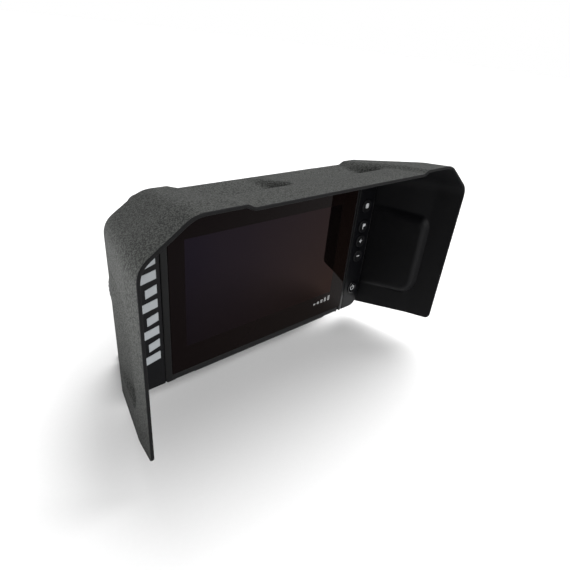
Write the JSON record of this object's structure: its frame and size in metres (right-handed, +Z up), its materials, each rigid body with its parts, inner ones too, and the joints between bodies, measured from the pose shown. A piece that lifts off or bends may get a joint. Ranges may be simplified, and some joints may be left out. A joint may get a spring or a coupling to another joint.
{
  "type": "chartplotter display",
  "caption": "Marine chartplotter display with a flared sun visor, side keys and a tilting gimbal bracket with two hand knobs; shows charts and sonar at a helm.",
  "frame": {"origin": "centre of the bracket's bolt pattern on the underside of its base", "axes": "+X to the right of a viewer facing the screen, +Y away from the viewer, out of the back of the display, +Z up"},
  "size_m": [0.2876, 0.1459, 0.1775],
  "materials": {
    "bracket_plastic": "moulded glass-filled plastic, satin",
    "washer_rubber": "moulded rubber, serrated",
    "bezel_plastic": "satin moulded plastic",
    "panel_plastic": "satin dark plastic",
    "cover_glass": "glossy bonded cover glass",
    "gasket_rubber": "closed-cell sealing rubber",
    "lcd_glass": "dark display glass, switched off",
    "plated_steel": "plated steel",
    "mark_print": "light grey print",
    "lens_plastic": "smoked plastic lens",
    "key_rubber": "coated silicone rubber",
    "key_mat_rubber": "silicone rubber",
    "circuit_board": "solder mask on glass-fibre board",
    "housing_plastic": "textured moulded plastic",
    "membrane_plastic": "vent cap",
    "cast_aluminium": "die-cast aluminium, powder coated",
    "thermal_pad": "soft thermal pad",
    "shield_metal": "tinned steel",
    "brass_fitting": "machined brass",
    "ceramic": "glazed ceramic",
    "knob_plastic": "moulded plastic, scalloped edge",
    "steel_stud": "stainless steel",
    "socket_plastic": "moulded plastic",
    "contact_gold": "gold-plated brass",
    "visor_sheet": "thermoformed sheet, haircell grain outside, smooth inside",
    "visor_foam": "closed-cell foam"
  },
  "bodies": {
    "bracket": {"gimbal_bracket": "bracket_plastic"},
    "display": {"tilt_washer_left": "washer_rubber", "tilt_washer_right": "washer_rubber", "front_bezel": "bezel_plastic", "cover_glass": "cover_glass", "glass_gasket": "gasket_rubber", "lcd_panel": "lcd_glass", "backlight_plate": "plated_steel", "left_panel": "panel_plastic", "panel_mark": "mark_print", "glass_mark": "mark_print", "key_panel": "panel_plastic", "sensor_lens": "lens_plastic", "key_mat": "key_mat_rubber", "key_board": "circuit_board", "rear_housing": "housing_plastic", "housing_seal": "gasket_rubber", "housing_screws": "steel_stud", "vent_plug": "membrane_plastic", "heat_sink": "cast_aluminium", "heat_sink_screws": "steel_stud", "heat_pad": "thermal_pad", "main_board": "circuit_board", "shield_can": "shield_metal", "sonar_board": "circuit_board", "board_spacers": "brass_fitting", "board_screws": "steel_stud", "gps_antenna": "ceramic", "sounder": "socket_plastic", "knob_insert_left": "brass_fitting", "knob_insert_right": "brass_fitting", "power_socket": "socket_plastic", "sonar_socket": "socket_plastic", "network_socket": "socket_plastic", "socket_contacts": "contact_gold", "socket_nuts": "plated_steel", "card_socket": "plated_steel", "card_door_pin": "steel_stud"},
    "card_door": {"card_door": "housing_plastic", "card_door_seal": "gasket_rubber"},
    "pages_key": {"pages_key": "key_rubber"},
    "waypoint_key": {"waypoint_key": "key_rubber"},
    "zoom_in_key": {"zoom_in_key": "key_rubber"},
    "zoom_out_key": {"zoom_out_key": "key_rubber"},
    "power_key": {"power_key": "key_rubber"},
    "washer_left": {"knob_washer_left": "steel_stud"},
    "washer_right": {"knob_washer_right": "steel_stud"},
    "knob_left": {"tilt_knob_left": "knob_plastic", "knob_stud_left": "steel_stud"},
    "knob_right": {"tilt_knob_right": "knob_plastic", "knob_stud_right": "steel_stud"},
    "visor": {"visor": "visor_sheet", "visor_foam_top": "visor_foam", "visor_foam_left": "visor_foam", "visor_foam_right": "visor_foam"}
  },
  "joints": [
    {"name": "display_tilt", "type": "hinge", "parent": "bracket", "child": "display", "pos_m": [0, -0.0175, 0.082], "axis": [-1, 0, 0], "range_deg": [-18, 25]},
    {"name": "visor_pull", "type": "slide", "parent": "display", "child": "visor", "axis": [0, -1, 0], "range_m": [0, 0.1]},
    {"name": "card_door_hinge", "type": "hinge", "parent": "display", "child": "card_door", "pos_m": [0.066, -0.0039, 0.0251], "axis": [1, 0, 0], "range_deg": [0, 100]},
    {"name": "pages_press", "type": "slide", "parent": "display", "child": "pages_key", "axis": [0, 1, 0], "range_m": [0, 0.0008], "stiffness_N_per_m": 1200, "springref_m": -0.0004},
    {"name": "waypoint_press", "type": "slide", "parent": "display", "child": "waypoint_key", "axis": [0, 1, 0], "range_m": [0, 0.0008], "stiffness_N_per_m": 1200, "springref_m": -0.0004},
    {"name": "zoom_in_press", "type": "slide", "parent": "display", "child": "zoom_in_key", "axis": [0, 1, 0], "range_m": [0, 0.0008], "stiffness_N_per_m": 1200, "springref_m": -0.0004},
    {"name": "zoom_out_press", "type": "slide", "parent": "display", "child": "zoom_out_key", "axis": [0, 1, 0], "range_m": [0, 0.0008], "stiffness_N_per_m": 1200, "springref_m": -0.0004},
    {"name": "power_press", "type": "slide", "parent": "display", "child": "power_key", "axis": [0, 1, 0], "range_m": [0, 0.0008], "stiffness_N_per_m": 1200, "springref_m": -0.0004},
    {"name": "knob_left_out", "type": "slide", "parent": "display", "child": "washer_left", "axis": [-1, 0, 0], "range_m": [0, 0.0025]},
    {"name": "knob_left_turn", "type": "hinge", "parent": "washer_left", "child": "knob_left", "pos_m": [-0.106, -0.0175, 0.082], "axis": [-1, 0, 0], "range_deg": [0, 720]},
    {"name": "knob_right_out", "type": "slide", "parent": "display", "child": "washer_right", "axis": [1, 0, 0], "range_m": [0, 0.0025]},
    {"name": "knob_right_turn", "type": "hinge", "parent": "washer_right", "child": "knob_right", "pos_m": [0.106, -0.0175, 0.082], "axis": [1, 0, 0], "range_deg": [0, 720]}
  ],
  "couplings": [
    {"joint": "knob_left_turn", "follows": "knob_left_out", "rad_per_m": 5026.5},
    {"joint": "knob_right_turn", "follows": "knob_right_out", "rad_per_m": 5026.5}
  ]
}
